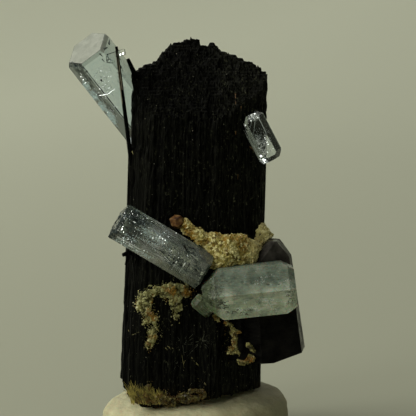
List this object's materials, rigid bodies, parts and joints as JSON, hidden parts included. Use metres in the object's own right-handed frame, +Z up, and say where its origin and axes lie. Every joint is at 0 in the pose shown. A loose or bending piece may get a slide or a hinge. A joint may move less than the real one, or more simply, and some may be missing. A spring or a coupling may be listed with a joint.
{
  "type": "aquamarine specimen",
  "caption": "Black tourmaline column with pale blue aquamarine crystals, smoky quartz, a small garnet and yellow mica crusts, standing in a lump of display putty.",
  "frame": {"origin": "centre of the putty's flat foot, below the tourmaline column", "axes": "+Z up along the column, -Y towards the viewer's side with the crossing crystals, +X to the viewer's right"},
  "size_m": [0.0314, 0.0263, 0.054],
  "materials": {
    "tourmaline": "satin",
    "aquamarine": "gloss",
    "milky_aquamarine": "satin",
    "smoky_quartz": "gloss",
    "garnet": "gloss",
    "mica": "satin",
    "putty": "matte"
  },
  "bodies": {
    "root": {"tourmaline_column": "tourmaline", "aquamarine_upper_left": "aquamarine", "aquamarine_upper_right": "aquamarine", "aquamarine_middle_left": "aquamarine", "aquamarine_lower_right": "milky_aquamarine", "aquamarine_small": "milky_aquamarine", "smoky_quartz": "smoky_quartz", "garnet": "garnet", "mica_crust_upper": "mica", "mica_crust_left": "mica", "mica_crust_right": "mica", "mica_fringe_base": "mica", "display_putty": "putty"}
  },
  "joints": []
}
